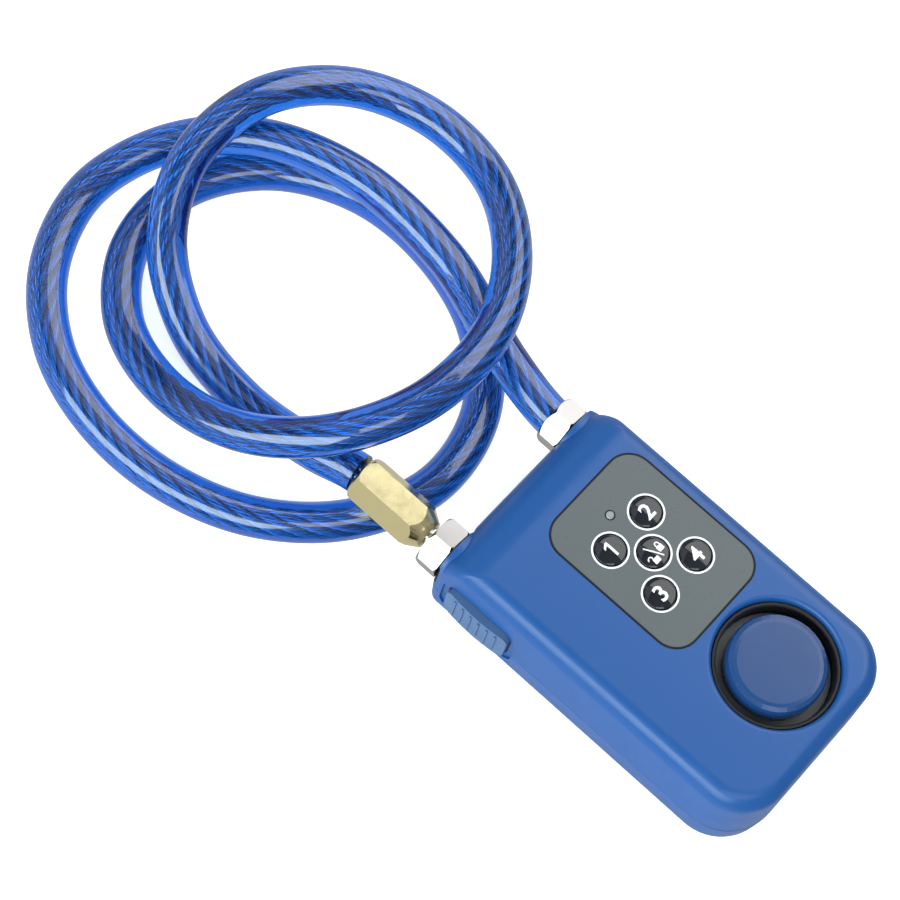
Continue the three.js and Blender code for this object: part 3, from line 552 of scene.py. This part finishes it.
def case_outline(inset, cable_inset):
    """The case's plan, drawn in by an inset on the side walls and one on the cable end."""
    steps = 14
    half, tail, head = HALF_WIDTH - inset, inset - TAIL_END, CABLE_END - cable_inset
    outline = []
    for quarter, (x, y) in enumerate(((half, head), (-half, head), (-half, tail), (half, tail))):
        radius = max(CORNER_RADII[quarter] - inset, 1)
        centre_x, centre_y = x - math.copysign(radius, x), y - math.copysign(radius, y)
        for i in range(steps + 1):
            angle = (quarter + i / steps) * math.pi / 2
            outline.append((centre_x + radius * math.cos(angle), centre_y + radius * math.sin(angle)))
    return outline


def case_insets(z):
    """How far the side walls and the cable end lie inside the joint's outline at a height."""
    if z <= JOINT_Z:
        lean = BACK_DRAFT * (JOINT_Z - z) / JOINT_Z
        under = max(BACK_FILLET - z, 0)
        rounding = BACK_FILLET - math.sqrt(BACK_FILLET**2 - under**2)
        return lean + rounding, lean + rounding
    lean = DRAFT * (z - JOINT_Z) / (HEIGHT - JOINT_Z)
    over = max(z - (HEIGHT - FACE_FILLET), 0)
    rounding = FACE_FILLET - math.sqrt(max(FACE_FILLET**2 - over**2, 0))
    sloped = max(z - (HEIGHT - SLOPE), 0) / SLOPE
    slope = SLOPE * (1 - math.sqrt(max(1 - sloped**2, 0)))
    return lean + rounding, lean + slope


def case_ring(outline_z, extra=0.0, z=None):
    """The outline at a height, drawn in by a little more, as points at that or another height."""
    side, cable = case_insets(outline_z)
    height = outline_z if z is None else z
    return [(x, y, height) for x, y in case_outline(side + extra, cable + extra)]


def arc_levels(radius, top, steps):
    """Heights that step evenly round a quarter circle which ends level at the top."""
    return [top - radius * (1 - math.sin(math.pi / 2 * i / steps)) for i in range(steps + 1)]


def hollow_form():
    """The room inside both halves."""
    levels = (WALL, JOINT_Z, 18.5, 22.5, 25.4, 27.8, HEIGHT - WALL)
    return loft("hollow", [case_ring(max(z, BACK_FILLET), WALL, z) for z in levels])


def side_block(margin, radius, low, high):
    """A rounded block through the left wall, between two distances from the middle plane."""
    y, z, length, height = SIDE_KEY
    outline = rounded_outline(y, z, length + 2 * margin, height + 2 * margin, radius)
    return loft("side_block", [[(-x, y, z) for y, z in outline] for x in (low, high)])


def carve_openings(shell):
    """The collars' seats and bores and the side key's pocket, which both halves share."""
    for x in (SOCKET_X, ANCHOR_X):
        bore, groove = BORES[x], GASKETS[x] + GAP
        for profile in (
            [(SCOOP_RADIUS, SEAT_Y), (SCOOP_MOUTH, SEAT_Y + SCOOP_DEPTH)],
            [(groove, SEAT_Y - SEAT_GROOVE), (groove, SEAT_Y + 1)],
            [(bore, BORE_START), (bore, BORE_END)],
        ):
            carve(shell, [turned("cutter", profile, (x, AXIS_Z), axis="y", segments=72)])
    sizes = ((POCKET_MARGIN, POCKET_CORNER, POCKET_FLOOR), (GAP, SLOT_CORNER, SLOT_FLOOR))
    carve(shell, [side_block(*size, OUTSIDE) for size in sizes])


def finish_shell(shell):
    """Fine broken edges and smooth shading on a carved shell."""
    shell.data.materials.clear()
    shell.data.materials.append(MATERIALS["blue_abs"])
    soften(shell, bevel=0.12, angle=40)
    return shell


def front_shell():
    """The upper half, with the keypad's seat, the siren's well and the side key's pocket."""
    foot = JOINT_Z + GAP / 2
    rings = [case_ring(foot, SEAM_CHAMFER), case_ring(foot + SEAM_CHAMFER)]
    slope_levels = arc_levels(SLOPE, HEIGHT, 18)
    fillet_levels = arc_levels(FACE_FILLET, HEIGHT, 9)[:-1]
    rings += [case_ring(z) for z in sorted(slope_levels + fillet_levels)]
    shell = loft("front_shell_smooth", rings)
    carve(shell, [hollow_form()])
    for x in (SOCKET_X, ANCHOR_X):
        profile = [(SCOOP_RADIUS, BOSS_START), (SCOOP_RADIUS, SEAT_Y)]
        boss = turned("boss", profile, (x, AXIS_Z), axis="y", segments=72)
        carve(boss, [case_limit(0.8)], "INTERSECT")
        carve(shell, [boss], "UNION")
    wall_radius = WELL_RADIUS + WELL_WALL
    wall = [(wall_radius, WELL_FLOOR - 1.5), (wall_radius, WELL_WALL_TOP)]
    carve(shell, [turned("well_wall", wall, SIREN)], "UNION")
    lip = [math.pi / 2 * i / 6 for i in range(7)]
    lip_radius, lip_foot = WELL_RADIUS + WELL_LIP, HEIGHT - WELL_LIP
    well = [(WELL_RADIUS, WELL_FLOOR)]
    well += [(lip_radius - WELL_LIP * math.cos(a), lip_foot + WELL_LIP * math.sin(a)) for a in lip]
    well += [(lip_radius, HEIGHT + 1)]
    carve(shell, [turned("well", well, SIREN, segments=120)])
    x, y, width, length = PANEL
    recess = rounded_outline(x, y, width + 2 * GAP, length + 2 * GAP, PANEL_RADIUS + GAP)
    carve(shell, [prism("recess", recess, PANEL_SEAT, HEIGHT + 1)])
    carve(shell, [prism("opening", rounded_outline(*PAD_OPENING), OPENING_FOOT, HEIGHT)])
    carve_openings(shell)
    hole = [(SOUND_HOLE_RADIUS, WELL_FLOOR - 4), (SOUND_HOLE_RADIUS, WELL_FLOOR + 1)]
    for i in range(SOUND_HOLES):
        angle = (i + 0.5) * 2 * math.pi / SOUND_HOLES
        place = (SIREN[0] + SOUND_HOLE_RING * math.cos(angle), SIREN[1] + SOUND_HOLE_RING * math.sin(angle))
        carve(shell, [turned("hole", hole, place, segments=24)])
    return finish_shell(shell)


def rear_shell():
    """The lower half, with the battery door's seat and four screw wells in its flat back."""
    top = JOINT_Z - GAP / 2
    rings = [case_ring(BACK_FILLET - z) for z in arc_levels(BACK_FILLET, BACK_FILLET, 8)[::-1]]
    rings += [case_ring(top - SEAM_CHAMFER), case_ring(top, SEAM_CHAMFER)]
    shell = loft("rear_shell_smooth", rings)
    carve(shell, [hollow_form()])
    x, y, width, length = DOOR
    pad = rounded_outline(x, y, width + DOOR_PAD, length + DOOR_PAD, DOOR_PAD_CORNER)
    carve(shell, [prism("pad", pad, 1, DOOR_PAD_TOP)], "UNION")
    recess = rounded_outline(x, y, width + 2 * GAP, length + 2 * GAP, DOOR_CORNER + GAP)
    carve(shell, [prism("recess", recess, -1, DOOR_SEAT)])
    bay = rounded_outline(x, y - BAY_SHIFT, width - BAY_NARROWER, length - BAY_SHORTER, BAY_CORNER)
    carve(shell, [prism("bay", bay, -1, BAY_TOP)])
    well = [(SCREW_WELL_RADIUS, -1), (SCREW_WELL_RADIUS, SCREW_WELL_DEPTH)]
    hole = [(SCREW_HOLE_RADIUS, -1), (SCREW_HOLE_RADIUS, SCREW_HOLE_TOP)]
    for place in CASE_SCREWS:
        carve(shell, [turned("post", [(POST_RADIUS, 1), (POST_RADIUS, top)], place)], "UNION")
        carve(shell, [turned("well", well, place), turned("hole", hole, place)])
    carve_openings(shell)
    return finish_shell(shell)


def case_limit(inset):
    """The case's outline as a block, to trim what must not stand out of its side walls."""
    return loft("limit", [[(x, y, z) for x, y in case_outline(inset, 0)] for z in (0, HEIGHT)])


def gasket(x):
    """The ring under a collar, trimmed where it meets the case's side."""
    outer, bore = GASKETS[x], BORES[x]
    ring = turned("gasket_trimmed", [(outer, GASKET_BACK), (outer, GASKET_FRONT)], (x, AXIS_Z), "y", 96)
    carve(ring, [turned("cutter", [(bore, 45), (bore, 60)], (x, AXIS_Z), "y", 96)])
    carve(ring, [case_limit(1.2)], "INTERSECT")
    ring.data.materials.clear()
    ring.data.materials.append(MATERIALS["black_rubber"])
    return soften(ring, angle=40)


def keypad_panel():
    """The tinted plate, with its holes for the keys and the lamp."""
    x, y, width, length = PANEL
    outline = rounded_outline(x, y, width, length, PANEL_RADIUS)
    plate = prism("panel_smooth", outline, PANEL_FOOT, PANEL_TOP)
    for place in KEY_PLACES.values():
        hole = [(KEY_RADIUS + GAP, 25), (KEY_RADIUS + GAP, 40)]
        carve(plate, [turned("cutter", hole, place, segments=96)])
    carve(plate, [turned("cutter", [(LED_HOLE, 25), (LED_HOLE, 40)], LED)])
    plate.data.materials.clear()
    plate.data.materials.append(MATERIALS["grey_panel"])
    return soften(plate, bevel=0.1, angle=40)


# ---- Keys and their print ----
KEY_PLACES = {
    "1": (PAD[0] - KEY_DX, PAD[1] + KEY_DY),
    "2": (PAD[0] + KEY_DX, PAD[1] + KEY_DY),
    "3": (PAD[0] - KEY_DX, PAD[1] - KEY_DY),
    "4": (PAD[0] + KEY_DX, PAD[1] - KEY_DY),
    "lock": PAD,
}
KEY_CROWN, KEY_SHOULDER = 32.28, 31.55
STEM_RADIUS, STEM_FOOT = 1.5, 28.3
FLANGE_RADIUS, FLANGE_FOOT, FLANGE_TOP = 4.8, 29.1, 29.9
PRINT_LIFT, PRINT_SINK = 0.06, -0.1  # of the ink's top and underside, from the dome
INK_HALF_DEPTH, INK_EDGE = 0.05, 0.7  # and the longest edge that follows the dome
DIGIT_SIZE, DIGIT_BOLDNESS = 5.9, 0.11
RING_OUTER, RING_INNER, RING_FOOT, RING_LIFT = 4.78, 4.3, 31.3, 0.04
BORDER_OUT, BORDER_IN, BORDER_FOOT, BORDER_LIFT = 0.22, 0.25, 30.4, 0.03


def key_dome(radius):
    """The height of a key's domed top at a distance from its middle."""
    share = min(radius / KEY_RADIUS, 1)
    return KEY_SHOULDER + (KEY_CROWN - KEY_SHOULDER) * math.sqrt(1 - 0.96 * share**2)


def key_cap(name, place):
    """A glossy domed cap on its flange and foot."""
    profile = [(STEM_RADIUS, STEM_FOOT), (STEM_RADIUS, FLANGE_FOOT), (FLANGE_RADIUS, FLANGE_FOOT)]
    profile += [(FLANGE_RADIUS, FLANGE_TOP), (KEY_RADIUS, FLANGE_TOP)]
    radii = [KEY_RADIUS * math.sin(math.pi / 2 * i / 16) for i in range(16, 0, -1)]
    profile += [(radius, key_dome(radius)) for radius in radii]
    cap = turned(name, profile, place, segments=64, material=MATERIALS["key_black"])
    return soften(cap, angle=50)


def lay_on_dome(piece, place):
    """Bends a flat print over a key's dome, and sinks its underside into it."""
    cutter = bmesh.new()
    cutter.from_mesh(piece.data)
    for _ in range(3):
        bmesh.ops.triangulate(cutter, faces=cutter.faces)
        long_edges = [edge for edge in cutter.edges if edge.calc_length() > INK_EDGE * MM]
        bmesh.ops.subdivide_edges(cutter, edges=long_edges, cuts=1)
    bmesh.ops.triangulate(cutter, faces=cutter.faces)
    cutter.to_mesh(piece.data)
    cutter.free()
    for vertex in piece.data.vertices:
        x, y, z = vertex.co / MM
        lift = PRINT_LIFT if z > 0 else PRINT_SINK
        vertex.co = Vector((place[0] + x, place[1] + y, key_dome(math.hypot(x, y)) + lift)) * MM


def digit(text, place):
    """A number, centred on its key."""
    letters = bpy.data.curves.new("digit", "FONT")
    letters.body = text
    letters.size = DIGIT_SIZE * MM
    letters.extrude = INK_HALF_DEPTH * MM
    letters.offset = DIGIT_BOLDNESS * MM
    letters.align_x = "CENTER"
    letters.align_y = "CENTER"
    letters.resolution_u = 6
    shape = bpy.data.objects.new("digit", letters)
    bpy.context.scene.collection.objects.link(shape)
    shown = shape.evaluated_get(bpy.context.evaluated_depsgraph_get())
    data = bpy.data.meshes.new_from_object(shown)
    bpy.data.objects.remove(shape)
    piece = bpy.data.objects.new(f"digit_{text}", data)
    bpy.context.scene.collection.objects.link(piece)
    low, high = min(v.co.y for v in data.vertices), max(v.co.y for v in data.vertices)
    data.transform(Matrix.Translation((0, -(low + high) / 2, 0)))
    lay_on_dome(piece, place)
    data.materials.append(MATERIALS["white_print"])
    return piece


def bar(a, b, width):
    """A straight stroke's outline between two points."""
    along = (Vector(b) - Vector(a)).normalized() * (width / 2)
    across = Vector((-along.y, along.x))
    a, b = Vector(a), Vector(b)
    return [tuple(p) for p in (a + across, a - across, b - across, b + across)]


def shackle(x, y, radius, legs, width=0.32, steps=12):
    """An upturned U's outline, with a leg of a given length on its left and right."""
    inner, outer = radius - width / 2, radius + width / 2
    angles = [math.pi * i / steps for i in range(steps + 1)]
    left, right = legs
    outline = [(x + outer, y - right)]
    outline += [(x + outer * math.cos(a), y + outer * math.sin(a)) for a in angles]
    outline += [(x - outer, y - left), (x - inner, y - left)]
    outline += [(x + inner * math.cos(a), y + inner * math.sin(a)) for a in reversed(angles)]
    outline += [(x + inner, y - right)]
    return outline


def flat_print(name, strokes, place):
    """White ink in the shape of some closed outlines, laid on a key."""
    points, faces = [], []
    for outline in strokes:
        start, count = len(points), len(outline)
        points += [(x, y, z) for z in (-INK_HALF_DEPTH, INK_HALF_DEPTH) for x, y in outline]
        faces.append(tuple(range(start, start + count)))
        faces.append(tuple(range(start + count, start + 2 * count)))
        for i in range(count):
            a, b = start + i, start + (i + 1) % count
            faces.append((a, b, b + count, a + count))
    ink = add_mesh(name, points, faces, MATERIALS["white_print"])
    lay_on_dome(ink, place)
    return ink


def lock_icon(place):
    """A closed padlock and an open one, either side of a stroke."""
    strokes = [
        rounded_outline(2.0, -0.45, 1.8, 1.5, 0.2, steps=3),
        shackle(2.0, 0.75, 0.55, (0.6, 0.6)),
        rounded_outline(-0.95, -1.9, 1.8, 1.5, 0.2, steps=3),
        shackle(-2.05, -0.75, 0.55, (0.1, 0.6)),
        bar((-1.25, 2.4), (1.25, -2.4), 0.34),
    ]
    return flat_print("lock_icon", strokes, place)


def figure_one(place):
    """The number 1, as a stem with a flag."""
    stem_left, stem_right, foot, top = -0.05, 0.6, -2.15, 2.15
    flag_tip, flag_top, flag_foot = -1.15, 1.35, 0.65
    outline = [
        (stem_left, foot), (stem_right, foot), (stem_right, top), (stem_left + 0.1, top),
        (flag_tip, flag_top), (flag_tip, flag_foot), (stem_left, flag_top),
    ]
    return flat_print("digit_1", [outline], place)


def flat_ring(name, outer, inner, low, high, material):
    """A flat closed ring between two outlines of equal point count."""
    count = len(outer)
    levels = [(outer, low), (outer, high), (inner, high), (inner, low)]
    points = [(x, y, z) for outline, z in levels for x, y in outline]
    faces = []
    for level in range(4):
        for i in range(count):
            a, b = level * count + i, level * count + (i + 1) % count
            c, d = ((level + 1) % 4) * count + (i + 1) % count, ((level + 1) % 4) * count + i
            faces.append((a, b, c, d))
    return add_mesh(name, points, faces, material)


def key_ring(name, place):
    """The white ring printed round a key."""
    outer, inner = (
        [(x, y) for x, y, _ in circle(radius, 0, place, segments=64)]
        for radius in (RING_OUTER, RING_INNER)
    )
    return flat_ring(
        f"ring_{name}", outer, inner, RING_FOOT, PANEL_TOP + RING_LIFT, MATERIALS["white_print"])


def panel_border():
    """The black line round the panel."""
    x, y, width, length = PANEL
    outer, inner = (
        rounded_outline(x, y, width + 2 * grow, length + 2 * grow, PANEL_RADIUS + grow)
        for grow in (BORDER_OUT, -BORDER_IN)
    )
    return flat_ring(
        "panel_border", outer, inner, BORDER_FOOT, PANEL_TOP + BORDER_LIFT, MATERIALS["black_rubber"])


# ---- CAD nodes that keep their shape ----
BEVELS = {
    "ferrule": 0.5, "side_key": 0.15, "siren_cover": 0.1, "battery_door": 0.25, "lock_bolt": 0.1,
    "socket_collar": 0.15, "anchor_collar": 0.15,
}
for entry in frame["record"]["subparts"]:
    cad_node = nodes[entry["node"]]
    cad_node.data.materials.clear()
    look = OWN_LOOKS.get(entry["node"], MATERIALS[entry["material_slot"]])
    cad_node.data.materials.append(look)
    soften(cad_node, BEVELS.get(entry["node"], 0))

# ---- Riding ----
def stand_in(piece, node, body):
    """Puts a finished piece in place of a CAD node, on that node's body."""
    bake_modifiers(piece)
    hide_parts(node)
    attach(piece, body)


def extra(piece, slot, body):
    """Adds a finished piece to a body."""
    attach(piece, body)


def key_spring():
    """The coil behind the side key, a smooth-shaded copy of the CAD coil in its place."""
    coil = bpy.data.objects.new("key_spring_coil", nodes["key_spring"].data.copy())
    bpy.context.scene.collection.objects.link(coil)
    coil.matrix_world = nodes["key_spring"].matrix_world
    soften(coil)
    bake_modifiers(coil)
    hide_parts("key_spring")
    bpy.context.view_layer.update()
    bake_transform(coil)


stand_in(front_shell(), "front_shell", "case")
stand_in(rear_shell(), "rear_shell", "case")
stand_in(keypad_panel(), "keypad_panel", "case")
stand_in(gasket(SOCKET_X), "socket_gasket", "case")
stand_in(gasket(ANCHOR_X), "anchor_gasket", "case")
extra(panel_border(), "black_rubber", "case")
for key, place in KEY_PLACES.items():
    stand_in(key_cap(f"key_{key}_domed", place), f"key_{key}", f"push_key_{key}")
    extra(key_ring(key, place), "white_print", "case")
    ink = {"lock": lock_icon, "1": figure_one}.get(key)
    extra(ink(place) if ink else digit(key, place), "white_print", f"push_key_{key}")

key_spring()
# The sheath and the rope take the CAD cable's place between the fixed collar and the ferrule.
for piece, node, slot in ((sheath, "cable_sheath", "clear_blue_pvc"), (rope, "cable_core", "steel")):
    bake_modifiers(piece)
    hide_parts(node)
    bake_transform(piece)
